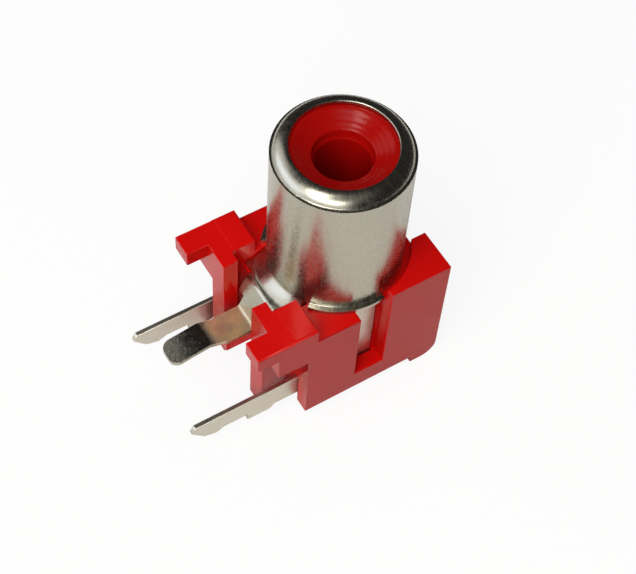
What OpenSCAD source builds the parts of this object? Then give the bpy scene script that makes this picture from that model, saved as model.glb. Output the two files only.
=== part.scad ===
// Right-angle phono socket for a printed board, standing on its back with the plug mouth up.
// The origin lies on the plug axis, in the plane that the back rests on.
// +Z runs out of the mouth, -X points at the board, and both sides of Y = 0 are alike.
// Lengths are in millimetres; reaches are measured from the plug axis, heights from the rest plane.

/* [Plug sleeve] */
// Outside diameter of the sleeve that the plug grips
sleeve_d = 8.3; // [8:0.05:8.5]
// Length of the sleeve from its seat to the top of its rim
sleeve_len = 10.5; // [8:0.1:14]
// Thickness of the drawn sheet
sheet_t = 0.3; // [0.2:0.05:0.4]
// Outside radius that the rim is rolled to
rim_r = 0.97; // [0.8:0.01:1]
// Height of the rolled rim above the shoulder of the sleeve's wall
rim_h = 0.7; // [0.55:0.05:0.7]
// Distance that the rolled rim is set in behind the sleeve's wall
rim_step = 0.12; // [0.05:0.01:0.15]
// Opening inside the rolled rim
mouth_d = 6.2; // [5.6:0.1:6.2]
// Width of the flange that is left on both sides of the sleeve's foot
flange_w = 0.35; // [0.3:0.05:0.5]
// Radius drawn between the sleeve and its flange
flange_fillet = 0.1; // [0.1:0.05:0.2]
// Angle at which the flange begins, measured from the side away from the board
flange_from = 80; // [74:1:90]
// Angle at which the flange is trimmed towards the board
flange_to = 142; // [120:1:142]

/* [Ground tab] */
// Width of the strap at its fold
strap_w = 3; // [2.4:0.1:3.2]
// Reach of the wider root of the strap
root_reach = 4.85; // [4.7:0.05:4.9]
// Gap between the strap's root and each hood beside it
root_clear = 0.08; // [0.05:0.01:0.15]
// Depth of the strap's ledge below the sleeve's seat
ledge_drop = 0.85; // [0.6:0.05:1]
// Radius drawn between the sleeve and the strap's ledge
ledge_fillet = 0.8; // [0.5:0.05:0.8]
// Reach of the ledge up to its fold
ledge_end = 4.96; // [4.96:0.01:5.1]
// Inside radius of the fold at the end of the ledge
fold_r = 0.05; // [0.05:0.05:0.3]
// Angle that the strap falls at between the fold and the tab
strap_fall = 66; // [60:1:80]
// Inside radius of the bend from the falling strap into the tab
sweep_r = 0.35; // [0.2:0.05:0.6]
// Height of the tab's upper face
tab_h = 5.95; // [5.4:0.05:6.2]
// Width of the tab between the legs of the housing
tab_w = 1.9; // [1.8:0.05:2.4]
// Width of the tab where it passes through the board
tab_pin_w = 1.75; // [1.3:0.05:1.8]
// Distance past the board face of the knee that grips the board
knee_out = 0.9; // [0.6:0.1:1.8]
// Height of the knee above the flat of the tab
knee_rise = 0.4; // [0.1:0.05:0.6]
// Length of the tab past the board face
tab_out = 3.4; // [2.8:0.1:4.8]
// Corner radius of the tab's tip
tab_tip_r = 0.6; // [0.2:0.05:0.6]

/* [Tip contact] */
// Thickness of the contact strip
strip_t = 0.3; // [0.2:0.05:0.4]
// Spacing of the two signal pins, middle to middle
pin_pitch = 7.5; // [7.2:0.1:7.6]
// Width of the bridge, the uprights and the springs
upright_w = 1.6; // [1.2:0.05:1.8]
// Distance of the uprights' middle from the plug axis, towards the board
upright_offset = 0.15; // [0:0.05:0.2]
// Height of the uprights' upper end
upright_h = 8; // [7.6:0.05:8.1]
// Inside radius of the strip's bends
strip_bend_r = 0.3; // [0.2:0.05:0.4]
// Slope of the springs towards the plug pin
spring_angle = 45; // [35:1:50]
// Gap between the two springs with no plug in
spring_gap = 2.9; // [2.6:0.05:3.1]
// Length of the flared lead-out at the end of a spring
spring_flare = 0.7; // [0.4:0.05:1]
// Height of the pins' upper edge
pin_top_h = 3.2; // [3:0.05:3.6]
// Width of a pin where it passes through the board
pin_w = 1.55; // [1.2:0.05:1.6]
// Length of the pins past the board face
pin_out = 3.9; // [3.4:0.1:5.8]
// Width of a pin's blunt tip
tip_w = 0.5; // [0.3:0.05:0.8]
// Length of the slanted corner above that tip
tip_slant = 0.26; // [0.1:0.02:0.6]
// Width of the blade that carries a pin inside the housing
blade_w = 1.85; // [1.6:0.05:1.9]
// Width of the shoulder that stops a pin at the board
shoulder_w = 2.2; // [2:0.05:2.3]
// Length of the shoulder
shoulder_len = 1.6; // [1:0.1:2.4]
// Depth of the snap bulge under a pin
bulge = 0.28; // [0.1:0.02:0.4]
// Distance of the bulge's peak past the board face
bulge_out = 2.2; // [1.8:0.1:2.4]
// Length of the bulge's ramp on the board side
bulge_lead = 0.55; // [0.3:0.05:0.9]
// Length of the bulge's ramp on the tip side
bulge_tail = 0.85; // [0.4:0.05:1]

/* [Insulating post] */
// Bore for the plug's centre pin
bore_d = 3.3; // [3.25:0.05:3.6]
// Thickness of the back wall behind the bore
back_wall = 1; // [0.6:0.1:1.6]
// Distance of the funnel's edge inside the opening of the rim
funnel_inset = 0.2; // [0.1:0.05:0.4]
// Depth of the shallow funnel at the mouth
funnel_depth = 0.4; // [0.2:0.05:0.8]
// Diameter at which the funnel turns down into the lead-in
lead_d = 3.6; // [3.6:0.05:4.2]
// Depth of the lead-in between the funnel and the bore
lead_depth = 0.85; // [0.5:0.05:1.2]
// Gap between the post and the rolled rim around it
post_clear = 0.05; // [0.02:0.01:0.1]

/* [Housing] */
// Width across the side walls
body_w = 10; // [9.8:0.1:12]
// Height of the sleeve's seat
seat_h = 8.6; // [8.5:0.1:9.5]
// Rise of the front face above the seat
front_rise = 1.1; // [0.8:0.05:1.6]
// Reach of the side away from the board
top_reach = 5.1; // [5:0.1:7]
// Reach of the side walls towards the board
wall_reach = 4.7; // [4.7:0.05:4.9]
// Reach of the faces that seat on the board
board_reach = 8.2; // [8:0.1:9]
// Height of the feet under the back
foot_h = 0.6; // [0.3:0.05:0.8]
// Width of the rib that forms the foot away from the board
foot_rib_w = 1.9; // [1.5:0.1:2.4]
// Radius along the edge of that rib
foot_round = 1.1; // [0.4:0.05:1.2]
// Radial gap around the sleeve's flange
well_clear = 0.1; // [0.05:0.01:0.2]
// Near edge of the notch in each side wall, towards the board
notch_near = 1.15; // [1.1:0.05:1.6]
// Far edge of that notch, away from the board
notch_far = 0.9; // [0.85:0.05:1.4]
// Height of the notch's floor
notch_h = 2.25; // [1.6:0.05:3]
// Gap between the two corner posts
post_gap = 4.2; // [3:0.1:5]
// Depth of the recess between the corner posts
post_recess = 0.65; // [0.3:0.05:0.7]
// Gap around the contact strip in its slots
slot_clear = 0.06; // [0.04:0.01:0.1]

/* [Board legs] */
// Reach of the faces of the legs that look at the board
leg_reach = 6.75; // [6.7:0.05:7]
// Thickness of a leg along the reach
leg_t = 1; // [0.8:0.05:1]
// Gap between the strap and each leg beside it
leg_clear = 0.13; // [0.05:0.01:0.3]
// Distance from the middle to the outer faces of the legs
leg_out = 3.1; // [2.9:0.05:3.3]
// Reach of the hoods' faces that look at the sleeve
hood_near = 4.13; // [4.05:0.01:4.3]
// Gap between the two hoods
hood_gap = 4.76; // [4.4:0.02:5]
// Height of the underside of the hoods
hood_h = 6.6; // [6:0.05:7.2]
// Thickness of the arms that seat on the board
arm_t = 1.2; // [0.8:0.05:1.6]
// Width of an arm
arm_w = 1.5; // [1:0.05:1.8]
// Radius along the upper outer edge of an arm
arm_round = 0.1; // [0.05:0.05:0.6]
// Rise of the plain panel on top of each hood
panel_rise = 0.08; // [0.05:0.01:0.3]
// Margin around that panel
panel_margin = 0.14; // [0.08:0.02:0.4]
// Thickness of the tongue under the ground tab
tongue_t = 0.9; // [0.6:0.05:1.2]
// Width of that tongue
tongue_w = 1.8; // [1.2:0.05:2.4]
// Distance that the tongue stops short of the board
tongue_short = 0.2; // [0.05:0.05:0.6]

/* [Hidden] */
$fn = 96;

// Overlap of shapes that join, and excess of cuts
lap = 0.05;
over = 1;
// Steps of a bend in the strap
bend_steps = 8;

plastic_red = "#c60c0c";
plated_steel = "#b9b6aa";
tinned_brass = "#b8b29c";

sleeve_r = sleeve_d / 2;
flange_r = sleeve_r + flange_w;
rim_top = seat_h + sleeve_len;
shoulder_h = rim_top - rim_h;
// Height of the shoulder above the middle of the rim's curve, and the place of that middle
roll_dip = rim_r - rim_h;
roll_h = rim_top - rim_r;
roll_x = sleeve_r - rim_step - half_chord(rim_r, roll_dip);
root_half = hood_gap / 2 - root_clear;
ledge_base = seat_h - ledge_drop;
root_turn = ledge_base + sheet_t + ledge_fillet;
// Length of the falling strap, the reach of its lower end and the reach of the tab's start
strap_drop = ledge_base - tab_h - (fold_r + sweep_r) * (1 - cos(strap_fall));
strap_run = (strap_drop + sheet_t * cos(strap_fall)) / sin(strap_fall);
strap_foot = ledge_end + fold_r * sin(strap_fall) + strap_run * cos(strap_fall);
tab_start = strap_foot + (sheet_t + sweep_r) * sin(strap_fall);
tab_crease = board_reach - tongue_short;
tab_tip = board_reach + tab_out;

post_top = rim_top - sheet_t - post_clear;
post_round = rim_r - sheet_t - post_clear;
post_r = roll_x + half_chord(post_round, roll_dip);
bore_r = bore_d / 2;
bore_floor = foot_h + back_wall;
mouth_r = mouth_d / 2;
funnel_r = mouth_r - funnel_inset;
lead_r = lead_d / 2;
lead_h = post_top - funnel_depth;

half_w = body_w / 2;
front_h = seat_h + front_rise;
well_r = flange_r + well_clear;
leg_near = leg_reach - leg_t;
leg_in = strap_w / 2 + leg_clear;

pin_outer = pin_pitch / 2 + strip_t / 2;
pin_inner = pin_outer - strip_t;
strip_fold = strip_bend_r + strip_t;
bridge_h = foot_h + slot_clear;
slot_half = upright_w / 2 + slot_clear;
slot_top = upright_h + slot_clear;

// Half of the chord that a circle has at a distance from its middle
function half_chord(radius, distance) = sqrt(radius * radius - distance * distance);

// Quarter ring and flat of a sheet that turns from the sleeve's wall out to a reach
module drawn_foot(base, fillet, reach) {
    turn = [sleeve_r + fillet, base + sheet_t + fillet];
    translate(turn) intersection() {
        difference() {
            circle(fillet + sheet_t);
            circle(fillet);
        }
        translate([-fillet - sheet_t, -fillet - sheet_t]) square(fillet + sheet_t);
    }
    translate([turn.x, base]) square([reach - turn.x, sheet_t]);
}

// Half section of the sleeve from its seat over the shoulder to the lip of its rolled rim
module sleeve_section() {
    foot_in = roll_x + half_chord(rim_r - sheet_t, roll_dip);
    foot_out = sleeve_r - rim_step;
    translate([sleeve_r - sheet_t, seat_h]) square([sheet_t, shoulder_h - seat_h]);
    translate([foot_in, shoulder_h - sheet_t]) square([foot_out - foot_in, sheet_t]);
    translate([roll_x, roll_h]) intersection() {
        difference() {
            circle(rim_r);
            circle(rim_r - sheet_t);
        }
        translate([max(-lap, mouth_r - roll_x), roll_dip]) square([rim_r + lap, rim_h]);
    }
    if (roll_x > mouth_r)
        translate([mouth_r, rim_top - sheet_t]) square([roll_x - mouth_r, sheet_t]);
}

// Bent strip that starts along +X with its lower face on Z = 0. Each leg is
// [straight length, bend angle, inside radius, width]; a positive angle bends upward.
module bent_strip(legs, thick, i = 0) {
    if (i < len(legs)) {
        run = legs[i][0];
        angle = legs[i][1];
        radius = legs[i][2];
        width = legs[i][3];
        pivot = angle > 0 ? thick + radius : -radius;
        if (run > 0) translate([0, -width / 2, 0]) cube([run, width, thick]);
        translate([run, 0, pivot]) {
            if (angle != 0) rotate([90, 0, 0]) rotate(angle > 0 ? -90 : 90 + angle)
                rotate_extrude(angle = abs(angle))
                    translate([radius, -width / 2]) square([thick, width]);
            rotate([0, -angle, 0]) translate([0, 0, -pivot]) bent_strip(legs, thick, i + 1);
        }
    }
}

// Strap root: the sleeve's wall carried down past its seat and turned out into a ledge that narrows
// to the strap
module strap_root() {
    wall_top = max(seat_h, root_turn) + lap;
    tall = wall_top - ledge_base + over;
    intersection() {
        rotate_extrude() {
            translate([sleeve_r - sheet_t, root_turn]) square([sheet_t, wall_top - root_turn]);
            drawn_foot(ledge_base, ledge_fillet, ledge_end + strap_w);
        }
        translate([0, 0, ledge_base - over]) union() {
            translate([-root_reach, -root_half, 0]) cube([root_reach, 2 * root_half, tall]);
            translate([-ledge_end, -strap_w / 2, 0]) cube([ledge_end, strap_w, tall]);
        }
    }
}

// Points of an arc around a middle, with angles that turn from +Z towards -X
function bend(middle, radius, from, to) = [
    for (i = [0:bend_steps]) let (angle = from + (to - from) * i / bend_steps)
        middle + radius * [-sin(angle), cos(angle)]
];

// Upper or lower face of the strap and the tab in the plane Y = 0: the ledge, its fold, the falling
// strap, the bend, the flat on the tongue, and a knee that rises and falls to the tip
function strap_face(under) = concat(
    [[lap - ledge_end, ledge_base + sheet_t - under]],
    bend([-ledge_end, ledge_base - fold_r], fold_r + sheet_t - under, 0, strap_fall),
    bend([-tab_start, tab_h + sweep_r], sweep_r + under, strap_fall + 180, 180),
    [
        [-tab_crease, tab_h - under],
        [-board_reach - knee_out, tab_h + knee_rise - under],
        [-tab_tip, tab_h - under]
    ]
);

// Plan of the strap, the flat tab and its narrower end with a rounded tip, reaching along -X
module strap_plan() {
    round_at = tab_tip - tab_tip_r;
    translate([-strap_foot, -strap_w / 2]) square([strap_foot - ledge_end + 2 * lap, strap_w]);
    translate([-tab_crease, -tab_w / 2]) square([tab_crease - strap_foot + lap, tab_w]);
    translate([-round_at, -tab_pin_w / 2]) square([round_at - tab_crease + lap, tab_pin_w]);
    translate([-tab_tip, -tab_pin_w / 2 + tab_tip_r])
        square([tab_tip_r + lap, tab_pin_w - 2 * tab_tip_r]);
    for (side = [-1, 1])
        translate([-round_at, side * (tab_pin_w / 2 - tab_tip_r)]) circle(tab_tip_r);
}

// Strap from its ledge down to the tab and out through the board
module folded_strap() {
    upper = strap_face(0);
    lower = strap_face(sheet_t);
    outline = concat(upper, [for (i = [len(lower) - 1:-1:0]) lower[i]]);
    intersection() {
        rotate([90, 0, 0]) linear_extrude(2 * strap_w, center = true) polygon(outline);
        translate([0, 0, tab_h - over]) linear_extrude(ledge_base - tab_h + 2 * over) strap_plan();
    }
}

// Drawn sleeve with a rolled rim, a flange on both sides and the strap that becomes the ground tab
module ground_sleeve() {
    color(plated_steel) {
        difference() {
            rotate_extrude() sleeve_section();
            // The strap's root takes the place of the wall's foot
            translate([-sleeve_r - over, -root_half, seat_h - over])
                cube([sleeve_r + over, 2 * root_half, root_turn - seat_h + over]);
        }
        for (side = [0, 1]) mirror([0, side, 0]) rotate(flange_from)
            rotate_extrude(angle = flange_to - flange_from)
                drawn_foot(seat_h, flange_fillet, flange_r);
        strap_root();
        folded_strap();
    }
}

// Outline of a blade and its board pin, drawn with the reach along X and the height along Y
module pin_outline() {
    shoulder_start = board_reach - shoulder_len;
    ramp = shoulder_w - blade_w;
    pin_low = pin_top_h - pin_w;
    pin_tip = board_reach + pin_out;
    peak = board_reach + bulge_out;
    polygon([
        [upright_offset, pin_top_h],
        [upright_offset, pin_top_h - blade_w],
        [shoulder_start - ramp, pin_top_h - blade_w],
        [shoulder_start, pin_top_h - shoulder_w],
        [board_reach, pin_top_h - shoulder_w],
        [board_reach, pin_low],
        [peak - bulge_lead, pin_low],
        [peak, pin_low - bulge],
        [peak + bulge_tail, pin_low],
        [pin_tip, pin_top_h - tip_w],
        [pin_tip - tip_slant, pin_top_h]
    ]);
}

// One half of the contact: half the bridge, an upright, its spring and its blade, on the +Y side
module contact_half() {
    turn = 1 - cos(spring_angle);
    spring_y = pin_outer - 2 * strip_fold;
    inset = spring_y - spring_gap / 2 - (strip_bend_r + strip_fold) * turn;
    legs = [
        [pin_outer - strip_fold, 90, strip_bend_r, upright_w],
        [upright_h - bridge_h - 2 * strip_fold, 180, strip_bend_r, upright_w],
        [lap, -spring_angle, strip_bend_r, upright_w],
        [inset / sin(spring_angle), 2 * spring_angle, strip_bend_r, upright_w],
        [spring_flare, 0, 0, upright_w]
    ];
    translate([-upright_offset, 0, bridge_h]) rotate(90) bent_strip(legs, strip_t);
    translate([0, pin_outer, 0]) rotate([90, 0, 0]) mirror([1, 0, 0])
        linear_extrude(strip_t) pin_outline();
}

// Folded contact: a bridge at the back, two sprung uprights that grip the plug pin and two board pins
module tip_contact() {
    color(tinned_brass) {
        contact_half();
        mirror([0, 1, 0]) contact_half();
    }
}

// Box between a near and a far reach towards the board, on the +Y side
module board_block(near, far, inner, outer, low, high) {
    translate([-far, inner, low]) cube([far - near, outer - inner, high - low]);
}

// Arm that seats on the board, with a rounded upper outer edge
module arm() {
    translate([-leg_near, half_w - arm_w, front_h - arm_t]) rotate([90, 0, -90])
        linear_extrude(board_reach - leg_near) mirror([1, 0]) {
            square([arm_w, arm_t - arm_round]);
            square([arm_w - arm_round, arm_t]);
            translate([arm_w - arm_round, arm_t - arm_round]) circle(arm_round);
        }
}

// One ear of the housing on the +Y side: leg, web, hood, arm and plain panel
module ear() {
    board_block(leg_near, leg_reach, leg_in, leg_out, 0, front_h);
    board_block(leg_near, leg_reach, leg_in, half_w - arm_w + lap, front_h - arm_t, front_h);
    board_block(wall_reach - lap, leg_near, hood_gap / 2, leg_out, foot_h, front_h);
    board_block(hood_near, leg_near, hood_gap / 2, half_w, hood_h, front_h);
    board_block(leg_near, leg_reach, leg_out - lap, half_w, hood_h, front_h - arm_t);
    board_block(hood_near + panel_margin, leg_near - panel_margin, hood_gap / 2 + panel_margin,
        half_w - panel_margin, front_h - lap, front_h + panel_rise);
    arm();
}

// Corner post beside the sleeve on the +Y side
module corner_post() {
    board_block(-top_reach, -notch_far, post_gap / 2, half_w, foot_h, front_h);
}

// Solid form of the moulding before its cuts
module outer_form() {
    difference() {
        union() {
            for (side = [0, 1]) mirror([0, side, 0]) {
                board_block(-top_reach, wall_reach, -lap, half_w, foot_h, seat_h);
                board_block(-top_reach, foot_rib_w - top_reach, -lap, half_w, 0, foot_h + lap);
                board_block(0, ledge_end, -lap, leg_out, foot_h, seat_h);
                ear();
                corner_post();
            }
            tongue();
        }
        foot_rounding();
    }
}

// Waste outside the radius along the foot rib's edge
module foot_rounding() {
    difference() {
        translate([top_reach - foot_round, -half_w - over, -over])
            cube([foot_round + over, body_w + 2 * over, foot_round + over]);
        translate([top_reach - foot_round, 0, foot_round]) rotate([90, 0, 0])
            cylinder(r = foot_round, h = body_w + 4 * over, center = true);
    }
}

// Tongue that carries the ground tab out to the board
module tongue() {
    tongue_top = tab_h - sheet_t;
    translate([-tab_crease, -tongue_w / 2, tongue_top - tongue_t])
        cube([tab_crease - ledge_end + lap, tongue_w, tongue_t]);
}

// Room for the flange between the corner posts, the channel that the strap lies in between the hoods,
// and the recess between the posts
module sleeve_room() {
    translate([0, 0, seat_h]) cylinder(r = well_r, h = front_rise + over);
    translate([-ledge_end - lap, -hood_gap / 2, ledge_base])
        cube([ledge_end + lap, hood_gap, front_h - ledge_base + over]);
    translate([top_reach - post_recess, -post_gap / 2, notch_h])
        cube([post_recess + over, post_gap, front_h]);
}

// Post inside the sleeve, with its end rounded under the rolled rim
module insulating_post() {
    base = ledge_base - lap;
    rotate_extrude() {
        translate([0, base]) square([post_r, shoulder_h - base]);
        translate([0, base]) square([roll_x, post_top - base]);
        translate([roll_x, roll_h]) intersection() {
            circle(post_round);
            translate([-lap, roll_dip]) square([post_round + lap, post_round]);
        }
    }
}

// Way for the plug's centre pin: a shallow funnel, a lead-in and a bore that stops at the back wall
module plug_passage() {
    spread = (funnel_r - lead_r) / funnel_depth;
    rotate_extrude() polygon([
        [0, bore_floor],
        [bore_r, bore_floor],
        [bore_r, lead_h - lead_depth],
        [lead_r, lead_h],
        [funnel_r + spread * lap, post_top + lap],
        [0, post_top + lap]
    ]);
}

// Slots from the back for the folded contact, and the notch in each side wall
module contact_room() {
    translate([-upright_offset - slot_half, -pin_outer - slot_clear, foot_h - over])
        cube([2 * slot_half, 2 * (pin_outer + slot_clear), slot_top - foot_h + over]);
    for (side = [0, 1]) mirror([0, side, 0]) {
        board_block(upright_offset, wall_reach + over, pin_inner - slot_clear,
            pin_outer + slot_clear, foot_h - over, pin_top_h + slot_clear);
        board_block(-notch_far, notch_near, pin_outer, half_w + over, notch_h, front_h + over);
    }
}

// Moulded housing in one piece with the insulating post
module housing() {
    color(plastic_red) difference() {
        union() {
            difference() {
                outer_form();
                sleeve_room();
            }
            insulating_post();
        }
        plug_passage();
        contact_room();
    }
}

housing();
ground_sleeve();
tip_contact();
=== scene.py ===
# %% [markdown]
# # Phono socket for a printed board
# A red moulding holds a drawn metal sleeve and a folded contact strip. The solids come from the packed
# frame at their true size. This lesson gives them eased edges and the finishes of the real materials,
# then sets up a small studio around them. Blender works in metres here, and the object is only 19 mm
# tall, so lengths are written in millimetres and turned to metres by one factor.

# %% Load the frame
import math

import bmesh
import bpy
from mathutils import Matrix, Vector


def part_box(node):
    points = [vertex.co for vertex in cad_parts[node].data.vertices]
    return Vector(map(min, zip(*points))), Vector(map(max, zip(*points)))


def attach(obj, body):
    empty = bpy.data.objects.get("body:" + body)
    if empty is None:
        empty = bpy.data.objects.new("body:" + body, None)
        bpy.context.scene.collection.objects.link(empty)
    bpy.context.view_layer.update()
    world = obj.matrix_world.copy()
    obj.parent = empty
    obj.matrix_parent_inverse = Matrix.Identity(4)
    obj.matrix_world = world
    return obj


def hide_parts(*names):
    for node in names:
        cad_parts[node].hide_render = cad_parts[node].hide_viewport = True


MM = 0.001

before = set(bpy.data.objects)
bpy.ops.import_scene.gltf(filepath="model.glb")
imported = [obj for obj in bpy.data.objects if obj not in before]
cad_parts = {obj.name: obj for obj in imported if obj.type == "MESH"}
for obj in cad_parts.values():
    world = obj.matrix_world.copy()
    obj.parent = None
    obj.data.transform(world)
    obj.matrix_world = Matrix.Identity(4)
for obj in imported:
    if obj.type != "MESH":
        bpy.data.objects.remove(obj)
scene = bpy.context.scene
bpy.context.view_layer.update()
print("nodes:", sorted(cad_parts))

# %% [markdown]
# ## Places that the finishes need
# The plug axis is the Z axis of the frame. The contact's top lies inside the housing, and 2 mm above it
# the sleeve stands clear of the housing's front, so everything higher is round. The radius of the sleeve
# and of its mouth are measured there. The end of the housing is the face that meets the board. A changed
# part moves the finishes with it.

# %% Measure the sleeve and the board face
FRONT_CLEARANCE = 2 * MM

sleeve_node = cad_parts["ground_sleeve"]
sleeve_points = [sleeve_node.matrix_world @ v.co for v in sleeve_node.data.vertices]
round_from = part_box("tip_contact")[1].z + FRONT_CLEARANCE
radii = [math.hypot(p.x, p.y) for p in sleeve_points if p.z > round_from]
sleeve_radius = max(radii)
mouth_radius = min(radii)
sleeve_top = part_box("ground_sleeve")[1].z
board_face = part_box("housing")[0].x
print("sleeve radius in mm:", round(sleeve_radius / MM, 2), "mouth:", round(mouth_radius / MM, 2))
print("round from z:", round(round_from / MM, 2), "board face at x:", round(board_face / MM, 2))

# %% [markdown]
# ## Camera
# The view looks down on the mouth from the board side. A camera that circles a target is easy to read:
# azimuth and elevation say where it stands, the distance how far off, and roll turns it about its own
# axis. The three camera axes are built from those angles and put straight into its matrix.

# %% Place the camera
CAMERA_AZIMUTH = math.radians(-35.27)
CAMERA_ELEVATION = math.radians(57.07)
CAMERA_ROLL = math.radians(4.81)
CAMERA_DISTANCE = 95.07 * MM
CAMERA_TARGET = Vector((-1.43, -0.65, 6.6)) * MM
CAMERA_LENS_MM = 87.9
CAMERA_CLIP = 1 * MM


def circling_camera():
    """A camera object that stands around the target at the given angles."""
    flat = math.cos(CAMERA_ELEVATION)
    back = Vector((math.sin(CAMERA_AZIMUTH) * flat, -math.cos(CAMERA_AZIMUTH) * flat,
                   math.sin(CAMERA_ELEVATION)))
    level = Vector((math.cos(CAMERA_AZIMUTH), math.sin(CAMERA_AZIMUTH), 0))
    rise = back.cross(level)
    right = level * math.cos(CAMERA_ROLL) + rise * math.sin(CAMERA_ROLL)
    up = rise * math.cos(CAMERA_ROLL) - level * math.sin(CAMERA_ROLL)
    lens = bpy.data.cameras.new("camera")
    lens.lens = CAMERA_LENS_MM
    lens.clip_start = CAMERA_CLIP
    camera = bpy.data.objects.new("camera", lens)
    axes = Matrix((right, up, back)).transposed().to_4x4()
    camera.matrix_world = Matrix.Translation(CAMERA_TARGET + back * CAMERA_DISTANCE) @ axes
    scene.collection.objects.link(camera)
    return camera


scene.camera = circling_camera()
scene.view_settings.view_transform = "Standard"
print("camera at", [round(v / MM, 1) for v in scene.camera.matrix_world.translation], "mm")

# %% [markdown]
# ## Helpers for finishes
# Colours are written as sRGB hex, as a colour picker shows them, and shaders want linear light, so one
# function converts. Another adds a node to a tree with its settings and its inputs, where an input is
# either a plain value or the socket of another node. Patterns are written by their size in millimetres,
# and a texture's scale is how often that size fits into a metre.

# %% Colour and node helpers


def linear(hex_colour):
    """Linear RGBA of an sRGB hex colour."""
    values = [int(hex_colour[i:i + 2], 16) / 255 for i in (1, 3, 5)]
    return [v / 12.92 if v <= 0.04045 else ((v + 0.055) / 1.055) ** 2.4 for v in values] + [1.0]


def add_node(tree, kind, inputs=None, **settings):
    """A new node with its settings, whose inputs are values or sockets of other nodes."""
    node = tree.nodes.new(kind)
    for name, value in settings.items():
        setattr(node, name, value)
    for name, value in (inputs or {}).items():
        if isinstance(value, bpy.types.NodeSocket):
            tree.links.new(value, node.inputs[name])
        else:
            node.inputs[name].default_value = value
    return node


def new_material(name):
    """An empty material with its tree and its output node."""
    material = bpy.data.materials.new(name)
    material.use_nodes = True
    tree = material.node_tree
    tree.nodes.clear()
    return material, tree, add_node(tree, "ShaderNodeOutputMaterial")


def repeats(size_mm):
    """Texture scale, per metre, of a pattern that repeats at a size in millimetres."""
    return 1 / (size_mm * MM)


print("mid grey in linear light:", round(linear("#808080")[0], 3))
print("scale of a pattern of 0.5 mm:", round(repeats(0.5)))

# %% [markdown]
# ## Red moulding
# The housing is red PBT, shot into a polished steel mould. It looks deep red from above and paler on its
# sides, where the surface mirrors the table at a low angle. The mirror comes from the IOR alone. PBT has
# about 1.55, which turns the red pale in a white room, so it is matched at 1.3. The grain of the mould
# breaks the mirror up a little. The post inside the sleeve lies in the sleeve's shade, and that shade is
# painted into it as a deeper red. The lathe that cut its mould left faint rings in the funnel. Real grain
# and rings are too fine to show, so they are drawn coarser.

# %% Rings that the lathe left
RING_SPACING_MM = 0.3


def turned_rings(tree, place):
    """A wave that follows the distance from the plug axis."""
    flat = add_node(tree, "ShaderNodeVectorMath", {0: place, 1: (1.0, 1.0, 0.0)}, operation="MULTIPLY")
    radius = add_node(tree, "ShaderNodeVectorMath", {0: flat.outputs["Vector"]}, operation="LENGTH")
    phase = add_node(tree, "ShaderNodeMath", {0: radius.outputs["Value"],
                                              1: 2 * math.pi * repeats(RING_SPACING_MM)},
                     operation="MULTIPLY")
    return add_node(tree, "ShaderNodeMath", {0: phase.outputs["Value"]}, operation="SINE").outputs["Value"]


print("rings from the axis to the rim:", round(mouth_radius / MM / RING_SPACING_MM))

# %% Moulded red PBT
MOULDING_REDS = ("#C40806", "#CE0C09")
# Painted shade: a deeper red on the post inside the sleeve, standing in for the shade there
SHADED_POST_RED = "#9E0805"
DYE_CLOUD_MM = 2.5
MOULD_GRAIN_MM = 0.12


def moulded_red_pbt():
    """Red plastic: clouds in its red, painted shade as a deeper red in the post, grain all over, rings in
    the funnel.
    """
    material, tree, output = new_material("moulded_red_pbt")
    place = add_node(tree, "ShaderNodeTexCoord").outputs["Object"]
    xyz = add_node(tree, "ShaderNodeSeparateXYZ", {"Vector": place})
    post = add_node(tree, "ShaderNodeMapRange", {"Value": xyz.outputs["Z"], "From Min": round_from,
                                                 "From Max": round_from + FRONT_CLEARANCE})
    clouds = add_node(tree, "ShaderNodeTexNoise",
                      {"Vector": place, "Scale": repeats(DYE_CLOUD_MM), "Detail": 3.0})
    thin = add_node(tree, "ShaderNodeMix", {"Factor": clouds.outputs["Fac"], "A": linear(MOULDING_REDS[0]),
                                            "B": linear(MOULDING_REDS[1])}, data_type="RGBA")
    # Painted shade: above the housing's front the red turns to the deeper red of the post
    red_and_shade = add_node(tree, "ShaderNodeMix", {"Factor": post.outputs["Result"], "A": thin.outputs["Result"],
                                           "B": linear(SHADED_POST_RED)}, data_type="RGBA")
    grain = add_node(tree, "ShaderNodeTexNoise",
                     {"Vector": place, "Scale": repeats(MOULD_GRAIN_MM), "Detail": 4.0})
    gloss = add_node(tree, "ShaderNodeMapRange", {"Value": grain.outputs["Fac"], "To Min": 0.14,
                                                  "To Max": 0.26})
    grained = add_node(tree, "ShaderNodeBump", {"Height": grain.outputs["Fac"], "Strength": 0.12,
                                                "Distance": 0.01 * MM})
    rings = add_node(tree, "ShaderNodeMath", {0: turned_rings(tree, place), 1: post.outputs["Result"]},
                     operation="MULTIPLY")
    turned = add_node(tree, "ShaderNodeBump", {"Height": rings.outputs["Value"], "Strength": 0.5,
                                               "Distance": 0.007 * MM, "Normal": grained.outputs["Normal"]})
    shader = add_node(tree, "ShaderNodeBsdfPrincipled",
                      {"Base Color": red_and_shade.outputs["Result"], "Roughness": gloss.outputs["Result"],
                       "IOR": 1.3, "Normal": turned.outputs["Normal"]})
    tree.links.new(shader.outputs["BSDF"], output.inputs["Surface"])
    return material


red_pbt = moulded_red_pbt()
print("made", red_pbt.name, "of", len(red_pbt.node_tree.nodes), "nodes")

# %% [markdown]
# ## Plated steel
# The sleeve was drawn from sheet and plated bright. Drawing leaves faint lines that run up the wall, so
# the pattern is laid out on the unrolled wall: the angle around the axis times the radius is the
# distance along the sheet. The lines roughen the mirror more than they bend it. They are drawn wider
# than real ones, which are too fine to show.

# %% Lines of the drawn sheet
LINE_WIDTH_MM = 0.25
LINE_STRETCH = 0.04


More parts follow.
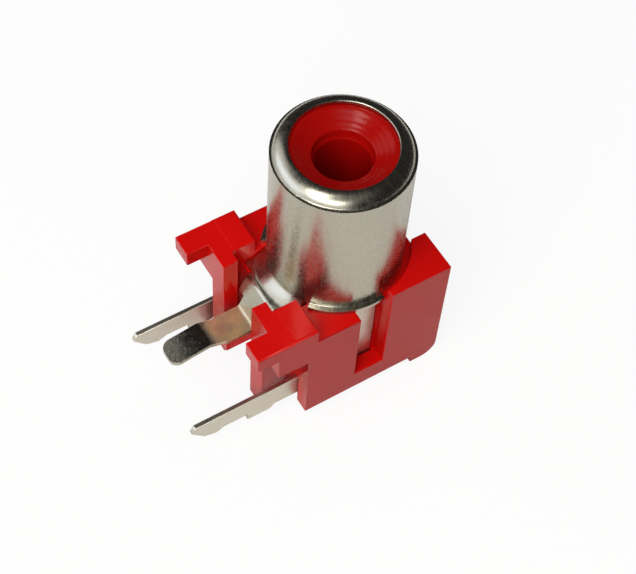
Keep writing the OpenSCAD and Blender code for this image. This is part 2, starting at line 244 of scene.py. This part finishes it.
def drawn_lines(tree, xyz):
    """Noise on the unrolled wall, stretched into lines that run up it."""
    angle = add_node(tree, "ShaderNodeMath", {0: xyz.outputs["Y"], 1: xyz.outputs["X"]},
                     operation="ARCTAN2")
    around = add_node(tree, "ShaderNodeMath", {0: angle.outputs["Value"], 1: sleeve_radius},
                      operation="MULTIPLY")
    along = add_node(tree, "ShaderNodeMath", {0: xyz.outputs["Z"], 1: LINE_STRETCH}, operation="MULTIPLY")
    unrolled = add_node(tree, "ShaderNodeCombineXYZ", {"X": around.outputs["Value"],
                                                       "Y": along.outputs["Value"]})
    lines = add_node(tree, "ShaderNodeTexNoise", {"Vector": unrolled.outputs["Vector"],
                                                  "Scale": repeats(LINE_WIDTH_MM), "Detail": 4.0})
    return lines.outputs["Fac"]


print("lines around the sleeve:", round(2 * math.pi * sleeve_radius / MM / LINE_WIDTH_MM))

# %% [markdown]
# The tab is the solder end of the same sheet. Between its bend and its knee it is dull, and a warm
# reflection is painted on it as golden brown in clouds. The tip beyond the knee is bright and grainy. The
# tab runs out past the board face along X, so each of its places is told by the distance from that face.

# %% Painted reflection and grains of the tab
TAB_BEND_MM = (2.4, 1.8)
TAB_KNEE_MM = (-0.3, -0.8)
GOLD_CLOUD_MM = 1.1
TIP_GRAIN_MM = 0.16


def beyond(tree, xyz, bend_mm):
    """A factor that goes from 0 to 1 across a bend, whose start and end are given inside the board face."""
    start, end = (board_face + inside * MM for inside in bend_mm)
    return add_node(tree, "ShaderNodeMapRange", {"Value": xyz.outputs["X"], "From Min": start,
                                                 "From Max": end}).outputs["Result"]


def painted_gold_share(tree, place, tab, tip):
    """How much painted golden reflection the sheet has, which it has on the tab without its tip."""
    flat = add_node(tree, "ShaderNodeMath", {0: tab, 1: tip}, operation="SUBTRACT")
    clouds = add_node(tree, "ShaderNodeTexNoise",
                      {"Vector": place, "Scale": repeats(GOLD_CLOUD_MM), "Detail": 2.0})
    gold_clouds = add_node(tree, "ShaderNodeMapRange", {"Value": clouds.outputs["Fac"], "From Min": 0.3,
                                                   "From Max": 0.7, "To Min": 0.4, "To Max": 0.75})
    return add_node(tree, "ShaderNodeMath", {0: flat.outputs["Value"], 1: gold_clouds.outputs["Result"]},
                    operation="MULTIPLY").outputs["Value"]


def tip_grains(tree, place, tip):
    """Height of the grains on the tip: noise of which only the peaks stand out."""
    noise = add_node(tree, "ShaderNodeTexNoise",
                     {"Vector": place, "Scale": repeats(TIP_GRAIN_MM), "Detail": 3.0})
    peaks = add_node(tree, "ShaderNodeMapRange", {"Value": noise.outputs["Fac"], "From Min": 0.56,
                                                  "From Max": 0.68})
    return add_node(tree, "ShaderNodeMath", {0: peaks.outputs["Result"], 1: tip},
                    operation="MULTIPLY").outputs["Value"]


print("stain from x:", round(board_face / MM + TAB_BEND_MM[0], 2),
      "to x:", round(board_face / MM + TAB_KNEE_MM[1], 2))

# %% Bright plated steel
PLATING = ("#ADA99B", "#BBB7A9")
# Painted reflection: golden brown on the tab, standing in for a warm reflection
PAINTED_GOLD = "#C89C62"
SPOT_MM = 0.35


def bright_plated_steel():
    """Bright plating with faint lines and spots, and with the painted golden reflection and the grains of
    the tab.
    """
    material, tree, output = new_material("bright_plated_steel")
    place = add_node(tree, "ShaderNodeTexCoord").outputs["Object"]
    xyz = add_node(tree, "ShaderNodeSeparateXYZ", {"Vector": place})
    lines = drawn_lines(tree, xyz)
    tip = beyond(tree, xyz, TAB_KNEE_MM)
    # Painted reflection: golden brown in clouds between the tab's bend and its knee, less metallic there
    painted_gold = painted_gold_share(tree, place, beyond(tree, xyz, TAB_BEND_MM), tip)
    spots = add_node(tree, "ShaderNodeTexNoise",
                     {"Vector": place, "Scale": repeats(SPOT_MM), "Detail": 5.0})
    bright = add_node(tree, "ShaderNodeMix", {"Factor": spots.outputs["Fac"], "A": linear(PLATING[0]),
                                              "B": linear(PLATING[1])}, data_type="RGBA")
    gold_painted = add_node(tree, "ShaderNodeMix", {"Factor": painted_gold, "A": bright.outputs["Result"],
                                               "B": linear(PAINTED_GOLD)}, data_type="RGBA")
    metal = add_node(tree, "ShaderNodeMapRange", {"Value": painted_gold, "To Min": 1.0, "To Max": 0.2})
    marks = add_node(tree, "ShaderNodeMath", {0: lines, 1: spots.outputs["Fac"]}, operation="ADD")
    gloss = add_node(tree, "ShaderNodeMapRange", {"Value": marks.outputs["Value"], "From Min": 0.6,
                                                  "From Max": 1.4, "To Min": 0.21, "To Max": 0.33})
    smoother = add_node(tree, "ShaderNodeMapRange", {"Value": tip, "To Min": 1.0, "To Max": 0.7})
    roughness = add_node(tree, "ShaderNodeMath", {0: gloss.outputs["Result"],
                                                  1: smoother.outputs["Result"]}, operation="MULTIPLY")
    lined = add_node(tree, "ShaderNodeBump", {"Height": lines, "Strength": 0.05, "Distance": 0.01 * MM})
    grained = add_node(tree, "ShaderNodeBump",
                       {"Height": tip_grains(tree, place, tip), "Strength": 0.28, "Distance": 0.02 * MM,
                        "Normal": lined.outputs["Normal"]})
    shader = add_node(tree, "ShaderNodeBsdfPrincipled",
                      {"Base Color": gold_painted.outputs["Result"], "Metallic": metal.outputs["Result"],
                       "Roughness": roughness.outputs["Value"], "Normal": grained.outputs["Normal"]})
    tree.links.new(shader.outputs["BSDF"], output.inputs["Surface"])
    return material


bright_steel = bright_plated_steel()
print("made", bright_steel.name, "of", len(bright_steel.node_tree.nodes), "nodes")

# %% [markdown]
# ## Tinned brass
# The contact strip was dipped in tin and then stamped. Tin is dull next to the plated sleeve, and it
# clouds over as it sets. Small grains in it look like dark specks.

# %% Dull tinned brass
TIN = ("#C4C0B2", "#D2CEC2")
SPECK = "#6E675A"
TIN_CLOUD_MM = 0.6
SPECK_MM = 0.09


def dull_tinned_brass():
    """Dull tin with clouds that change its colour and gloss, and with dark specks."""
    material, tree, output = new_material("dull_tinned_brass")
    place = add_node(tree, "ShaderNodeTexCoord").outputs["Object"]
    clouds = add_node(tree, "ShaderNodeTexNoise",
                      {"Vector": place, "Scale": repeats(TIN_CLOUD_MM), "Detail": 4.0})
    grains = add_node(tree, "ShaderNodeTexNoise",
                      {"Vector": place, "Scale": repeats(SPECK_MM), "Detail": 2.0})
    specks = add_node(tree, "ShaderNodeMapRange", {"Value": grains.outputs["Fac"], "From Min": 0.66,
                                                   "From Max": 0.74})
    clouded = add_node(tree, "ShaderNodeMix", {"Factor": clouds.outputs["Fac"], "A": linear(TIN[0]),
                                               "B": linear(TIN[1])}, data_type="RGBA")
    marked = add_node(tree, "ShaderNodeMix",
                      {"Factor": specks.outputs["Result"], "A": clouded.outputs["Result"],
                       "B": linear(SPECK)}, data_type="RGBA")
    gloss = add_node(tree, "ShaderNodeMapRange", {"Value": clouds.outputs["Fac"], "To Min": 0.26,
                                                  "To Max": 0.42})
    grained = add_node(tree, "ShaderNodeBump", {"Height": grains.outputs["Fac"], "Strength": 0.15,
                                                "Distance": 0.01 * MM})
    shader = add_node(tree, "ShaderNodeBsdfPrincipled",
                      {"Base Color": marked.outputs["Result"], "Metallic": 1.0,
                       "Roughness": gloss.outputs["Result"], "Normal": grained.outputs["Normal"]})
    tree.links.new(shader.outputs["BSDF"], output.inputs["Surface"])
    return material


dull_tin = dull_tinned_brass()
print("made", dull_tin.name, "of", len(dull_tin.node_tree.nodes), "nodes")

# %% [markdown]
# ## Two soft forms
# Two small forms of the real part are softer than its solids. The funnel in the mouth is hollow like a
# dish, and the root of the strap leans down to the fold as a saddle. Bump would change their shading but
# not their shape, so both are made in the mesh: a function says how far a point of the piece goes up,
# in millimetres.

# %% Hollow of the funnel
FUNNEL_INSIDE_MM = (1.3, 0.2)
FUNNEL_HEIGHT_MM = 1.2
FUNNEL_DROP_MM = 0.22

funnel_foot, funnel_rim = (mouth_radius / MM - inside for inside in FUNNEL_INSIDE_MM)
funnel_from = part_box("housing")[1].z / MM - FUNNEL_HEIGHT_MM


def funnel_lift(point):
    """The funnel's cone sinks to a hollow, deepest at its foot, and the lead-in below sinks with it."""
    radius = math.hypot(point.x, point.y)
    if radius > funnel_rim or point.z < funnel_from:
        return 0
    share = min(1, (funnel_rim - radius) / (funnel_rim - funnel_foot))
    return -FUNNEL_DROP_MM * math.sin(math.pi / 2 * share)


print("funnel from radius", round(funnel_foot, 2), "to", round(funnel_rim, 2), "mm")

# %% Saddle of the strap
SADDLE_REACH_MM = 0.8
SADDLE_HALF_WIDTH_MM = 2.4
SADDLE_SHARE = 0.65


def saddle_lift(point):
    """The fillet at the strap's root rises part of the way to the straight line between its two ends."""
    reach = sleeve_radius / MM + SADDLE_REACH_MM - math.hypot(point.x, point.y)
    beside = point.x > 0 or abs(point.y) > SADDLE_HALF_WIDTH_MM or point.z > round_from / MM
    if beside or not 0 < reach < SADDLE_REACH_MM:
        return 0
    fillet = SADDLE_REACH_MM - math.sqrt(SADDLE_REACH_MM ** 2 - reach ** 2)
    return SADDLE_SHARE * (reach - fillet)


print("saddle from radius", round(sleeve_radius / MM, 2), "to",
      round(sleeve_radius / MM + SADDLE_REACH_MM, 2), "mm")

# %% [markdown]
# ## Eased edges
# No moulded or stamped edge is a knife edge, and the thin bright line along an edge is what makes a
# small part look real. Each piece is a copy of its solid. The triangles on one flat are first merged
# into one face, so that an edge of the object is one edge of the mesh, and the convex edges are then
# bevelled. Faces that run on smoothly into each other count as one surface, and edges beside a surface
# that is too narrow for the bevel stay sharp. The work is done in millimetres, because Blender's bevel
# is careless with very small numbers.

# %% Surfaces of a solid
SMOOTH = math.radians(25)
NO_BORDER_MM = 1e-6


def surface_widths(solid):
    """For every face, the mean width of the smooth surface that it belongs to."""
    widths = {}
    for start in solid.faces:
        if start in widths:
            continue
        surface, queue = {start}, [start]
        while queue:
            for edge in queue.pop().edges:
                if len(edge.link_faces) == 2 and edge.calc_face_angle() < SMOOTH:
                    fresh = [f for f in edge.link_faces if f not in surface]
                    surface.update(fresh)
                    queue.extend(fresh)
        border = sum(e.calc_length() for f in surface for e in f.edges
                     if any(other not in surface for other in e.link_faces))
        width = 2 * sum(f.calc_area() for f in surface) / max(border, NO_BORDER_MM)
        widths.update((f, width) for f in surface)
    return widths


# %% Edges to ease
CORNER = math.radians(40)
CREASE = math.radians(8)
SAME_MM = 1e-3


def convex_edges(solid, sharper_than, narrowest_mm):
    """The convex edges that turn by more than an angle, between surfaces that have room for a bevel."""
    widths = surface_widths(solid)
    return [e for e in solid.edges if len(e.link_faces) == 2 and e.is_convex
            and e.calc_face_angle() > sharper_than and all(widths[f] > narrowest_mm for f in e.link_faces)]


def is_ring(edge, above_mm):
    """Whether an edge lies on a circle around the plug axis, above a height."""
    a, b = (v.co for v in edge.verts)
    level = abs(a.z - b.z) < SAME_MM
    round_the_axis = abs(math.hypot(a.x, a.y) - math.hypot(b.x, b.y)) < SAME_MM
    return level and round_the_axis and a.z > above_mm


def round_over(solid, edges, width_mm, segments):
    """Bevel edges to part of a circle."""
    bmesh.ops.bevel(solid, geom=edges, offset=width_mm, offset_type="OFFSET", affect="EDGES",
                    segments=segments, profile=0.5, clamp_overlap=True)


# %% Mesh with eased edges
FLAT = math.radians(0.4)
WELD_MM = 1e-4
RING_SEGMENTS = 3


def eased_mesh(node, width_mm, narrowest_mm, segments, ring_mm, ring_angle, lift):
    """A copy of a node's mesh with rounded convex edges, and with wider rounding on its turned rings."""
    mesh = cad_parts[node].data.copy()
    solid = bmesh.new()
    solid.from_mesh(mesh)
    solid.transform(Matrix.Scale(1 / MM, 4))
    bmesh.ops.remove_doubles(solid, verts=solid.verts, dist=WELD_MM)
    if lift:
        for vertex in solid.verts:
            vertex.co.z += lift(vertex.co)
    bmesh.ops.dissolve_limit(solid, angle_limit=FLAT, verts=solid.verts, edges=solid.edges)
    rings = [e for e in convex_edges(solid, ring_angle, ring_mm) if is_ring(e, round_from / MM)]
    round_over(solid, rings, ring_mm, RING_SEGMENTS)
    corners = convex_edges(solid, CORNER, narrowest_mm)
    round_over(solid, corners, width_mm, segments)
    solid.transform(Matrix.Scale(MM, 4))
    solid.to_mesh(mesh)
    solid.free()
    print(node, "edges eased:", len(corners), "ring edges:", len(rings))
    return mesh


# %% [markdown]
# The round part, above the housing's front, needs one more step. Its triangles are long and uneven, and
# a mirror shows that, so the normals there are turned to lie in the plane through the plug axis.

# %% Piece with eased edges


def true_round(piece, above):
    """Bake a piece's normals, with those above a height kept in planes through the plug axis."""
    graph = bpy.context.evaluated_depsgraph_get()
    mesh = bpy.data.meshes.new_from_object(piece.evaluated_get(graph))
    normals = []
    for loop, corner in zip(mesh.loops, mesh.corner_normals):
        place, normal = mesh.vertices[loop.vertex_index].co, Vector(corner.vector)
        if place.z > above:
            around = Vector((-place.y, place.x, 0)).normalized()
            normal = (normal - around * normal.dot(around)).normalized()
        normals.append(normal)
    mesh.normals_split_custom_set(normals)
    piece.modifiers.clear()
    piece.data = mesh


def eased_copy(node, width_mm, narrowest_mm, segments, ring_mm=0, ring_angle=CORNER, lift=None):
    """A piece that stands for a node, with eased edges and with normals that mirror cleanly."""
    mesh = eased_mesh(node, width_mm, narrowest_mm, segments, ring_mm, ring_angle, lift)
    piece = bpy.data.objects.new(f"eased_{node}", mesh)
    scene.collection.objects.link(piece)
    mesh.shade_smooth()
    mesh.set_sharp_from_angle(angle=CORNER)
    flat_first = piece.modifiers.new("flat_faces_first", "WEIGHTED_NORMAL")
    flat_first.keep_sharp = True
    true_round(piece, round_from)
    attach(piece, "root")
    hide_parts(node)
    return piece


# %% [markdown]
# ## The three pieces
# Each one gets its finish. The moulding's edges are the softest. The sheet of the sleeve is only 0.3 mm
# thick, so its edges are eased less, apart from those around its mouth. The stamped contact has the
# sharpest.

# %% Dress the pieces


def dress(piece, material):
    """Give a piece its only material."""
    piece.data.materials.clear()
    piece.data.materials.append(material)
    print(piece.name, "faces:", len(piece.data.polygons))


housing = eased_copy("housing", width_mm=0.07, narrowest_mm=0.16, segments=2,
                     ring_mm=0.12, ring_angle=CREASE, lift=funnel_lift)
dress(housing, red_pbt)
sleeve = eased_copy("ground_sleeve", width_mm=0.04, narrowest_mm=0.15, segments=2,
                    ring_mm=0.13, lift=saddle_lift)
dress(sleeve, bright_steel)
contact = eased_copy("tip_contact", width_mm=0.03, narrowest_mm=0.1, segments=1)
dress(contact, dull_tin)

# %% [markdown]
# ## A white room
# Metal shows what surrounds it, so the surroundings are part of its look: the wall of the sleeve mirrors
# the floor beside it, and its rim mirrors the room. The white of floor and sky is what the camera and the
# mirrors see. The light that they give back to the part is softer, as in a real room, so each of them
# asks which kind of ray has met it.

# %% What the camera and the mirrors see


def seen_directly(tree):
    """A factor that is 1 for rays from the camera, a mirror or a clear piece, and 0 for soft light."""
    path = add_node(tree, "ShaderNodeLightPath")
    mirrored = add_node(tree, "ShaderNodeMath", {0: path.outputs["Is Glossy Ray"],
                                                 1: path.outputs["Is Transmission Ray"]},
                        operation="MAXIMUM")
    return add_node(tree, "ShaderNodeMath", {0: path.outputs["Is Camera Ray"],
                                             1: mirrored.outputs["Value"]},
                    operation="MAXIMUM").outputs["Value"]


# %% [markdown]
# ## Floor
# The part stands on a white card. To the camera most of its white is a glow and the rest is lit, so that
# the part's shadow still shows. Mirrors see the lit card, and as a source of soft light it is only grey.

# %% White card
FLOOR_SPAN = 1.2
FLOOR_GLOW = 0.88


def white_card():
    """Card that looks white to the camera, keeps a faint shadow and throws little light back."""
    material, tree, output = new_material("white_card")
    lit = add_node(tree, "ShaderNodeBsdfDiffuse", {"Color": linear("#F6F6F4")})
    glow = add_node(tree, "ShaderNodeEmission", {"Color": linear("#FFFFFF"), "Strength": 1.0})
    path = add_node(tree, "ShaderNodeLightPath")
    washed = add_node(tree, "ShaderNodeMath", {0: path.outputs["Is Camera Ray"], 1: FLOOR_GLOW},
                      operation="MULTIPLY")
    shown = add_node(tree, "ShaderNodeMixShader", {"Fac": washed.outputs["Value"], 1: lit.outputs["BSDF"],
                                                   2: glow.outputs["Emission"]})
    soft = add_node(tree, "ShaderNodeBsdfDiffuse", {"Color": linear("#808080")})
    card = add_node(tree, "ShaderNodeMixShader", {"Fac": seen_directly(tree), 1: soft.outputs["BSDF"],
                                                  2: shown.outputs["Shader"]})
    tree.links.new(card.outputs["Shader"], output.inputs["Surface"])
    return material


def stage_piece(name, points, faces, material):
    """A piece of the studio, which isn't part of the object."""
    mesh = bpy.data.meshes.new(name)
    mesh.from_pydata(points, [], faces)
    mesh.materials.append(material)
    piece = bpy.data.objects.new(name, mesh)
    scene.collection.objects.link(piece)
    return piece


half = FLOOR_SPAN / 2
floor_corners = [(-half, -half, 0), (half, -half, 0), (half, half, 0), (-half, half, 0)]
floor = stage_piece("floor", floor_corners, [(0, 1, 2, 3)], white_card())
print("floor:", [round(side, 2) for side in floor.dimensions[:2]], "m")

# %% [markdown]
# ## Black tent
# Bright metal looks flat where everything around it is white. A photographer hangs black cloth there, and
# the dark bands on the rim are its mirror image. This tent is part of a dome around the part. It has three
# openings side by side, each up to a height of its own, and a patch of thin gauze where the first begins.
# It is there for mirrors only: the camera and the soft light pass through it, and it casts no shadow.

# %% Cells of the tent
TENT_RADIUS = 70 * MM
TENT_STEP = 5
TENT_FOOT = -15
# Where each opening starts and ends around the axis, from +X, and how high it reaches, in degrees
TENT_OPENINGS = ((105, 178, 42), (178, 208, 74), (208, 246, 40))
GAUZE_TURNS = (97, 128)
GAUZE_RISES = (33, 52)


def tent_foot(turn):
    """How low the tent hangs at a turn around the axis, in degrees above the level of the sleeve's top."""
    for start, end, rise in TENT_OPENINGS:
        if start < turn % 360 <= end:
            return rise
    return TENT_FOOT


def is_gauze(turn, rise):
    """Whether the cell that starts at a turn and a rise is of thin cloth."""
    return GAUZE_TURNS[0] < turn < GAUZE_TURNS[1] and GAUZE_RISES[0] < rise < GAUZE_RISES[1]


tent_cells = [(turn, rise) for turn in range(0, 360, TENT_STEP) for rise in range(TENT_FOOT, 90, TENT_STEP)
              if rise >= tent_foot(turn + TENT_STEP / 2)]
print("tent cells:", len(tent_cells), "of gauze:", sum(is_gauze(*cell) for cell in tent_cells))

# %% Hang the tent
GAUZE_OPEN_SHARE = 0.5


def black_cloth(name, open_share):
    """Black cloth, of which a share is open between the threads."""
    material, tree, output = new_material(name)
    felt = add_node(tree, "ShaderNodeBsdfDiffuse", {"Color": linear("#3C3C3C")})
    gaps = add_node(tree, "ShaderNodeBsdfTransparent")
    cloth = add_node(tree, "ShaderNodeMixShader", {"Fac": open_share, 1: felt.outputs["BSDF"],
                                                   2: gaps.outputs["BSDF"]})
    tree.links.new(cloth.outputs["Shader"], output.inputs["Surface"])
    return material


def outwards(azimuth, elevation):
    """The direction at an azimuth from +X and an elevation, both in degrees."""
    turn, rise = math.radians(azimuth), math.radians(elevation)
    return Vector((math.cos(turn) * math.cos(rise), math.sin(turn) * math.cos(rise), math.sin(rise)))


def black_tent():
    """The cells of the tent as one piece of the studio, in felt and gauze."""
    centre = Vector((0, 0, sleeve_top))
    steps = ((0, 0), (TENT_STEP, 0), (TENT_STEP, TENT_STEP), (0, TENT_STEP))
    points = [outwards(turn + right, rise + up) * TENT_RADIUS + centre
              for turn, rise in tent_cells for right, up in steps]
    faces = [range(4 * i, 4 * i + 4) for i in range(len(tent_cells))]
    tent = stage_piece("black_tent", points, faces, black_cloth("black_felt", 0.0))
    tent.data.materials.append(black_cloth("black_gauze", GAUZE_OPEN_SHARE))
    for face, cell in zip(tent.data.polygons, tent_cells):
        face.material_index = int(is_gauze(*cell))
    tent.visible_camera = False
    tent.visible_diffuse = False
    tent.visible_shadow = False
    return tent


tent = black_tent()
print("hung", tent.name, "of", len(tent.data.polygons), "faces")

# %% [markdown]
# ## Sky
# The room around the floor is plain white to the camera and the mirrors. As a lamp it is much weaker, and
# stronger from above than from the sides, like a room with a white ceiling.

# %% White room
SKY_LOW, SKY_HIGH = 0.06, 0.3


def studio_sky():
    """A white room that gives back only part of its white as soft light, and most of that from above."""
    world = bpy.data.worlds.new("studio_sky")
    world.use_nodes = True
    tree = world.node_tree
    tree.nodes.clear()
    way = add_node(tree, "ShaderNodeTexCoord").outputs["Generated"]
    rise = add_node(tree, "ShaderNodeSeparateXYZ", {"Vector": way})
    soft = add_node(tree, "ShaderNodeMapRange", {"Value": rise.outputs["Z"], "To Min": SKY_LOW,
                                                 "To Max": SKY_HIGH})
    strength = add_node(tree, "ShaderNodeMapRange", {"Value": seen_directly(tree),
                                                     "To Min": soft.outputs["Result"], "To Max": 1.0})
    light = add_node(tree, "ShaderNodeBackground", {"Color": linear("#FFFFFF"),
                                                    "Strength": strength.outputs["Result"]})
    output = add_node(tree, "ShaderNodeOutputWorld")
    tree.links.new(light.outputs["Background"], output.inputs["Surface"])
    return world


scene.world = studio_sky()
print("sky as soft light:", SKY_LOW, "at the sides and", SKY_HIGH, "overhead")

# %% [markdown]
# ## Lamps
# A large key lamp high on the board side gives the tops their red. A cool window, low and wide, draws the
# bluish light on the left of the sleeve. A faint fill from behind keeps the far side from going black. It
# would add a highlight that the real part doesn't show, so mirrors don't see it.

# %% Soft lamps
LAMP_DISTANCE_MM = 250
AIM_MM = (0, 0, 10)


def lamp(name, azimuth, elevation, width_mm, height_mm, watts, colour):
    """A soft rectangular lamp, aimed at the part and unseen by the camera."""
    light = bpy.data.lights.new(name, "AREA")
    light.shape = "RECTANGLE"
    light.size = width_mm * MM
    light.size_y = height_mm * MM
    light.energy = watts
    light.color = linear(colour)[:3]
    out = outwards(azimuth, elevation)
    obj = bpy.data.objects.new(name, light)
    obj.location = (Vector(AIM_MM) + out * LAMP_DISTANCE_MM) * MM
    obj.rotation_euler = (-out).to_track_quat("-Z", "Y").to_euler()
    obj.visible_camera = False
    scene.collection.objects.link(obj)
    return obj


lamp("key_lamp", azimuth=-146, elevation=48, width_mm=180, height_mm=250, watts=0.7, colour="#FFFCF6")
lamp("cool_window", azimuth=152, elevation=12, width_mm=290, height_mm=190, watts=0.2, colour="#D4E6FF")
back_fill = lamp("back_fill", azimuth=35, elevation=8, width_mm=250, height_mm=100, watts=0.16,
                 colour="#FFFFFF")
back_fill.visible_glossy = False
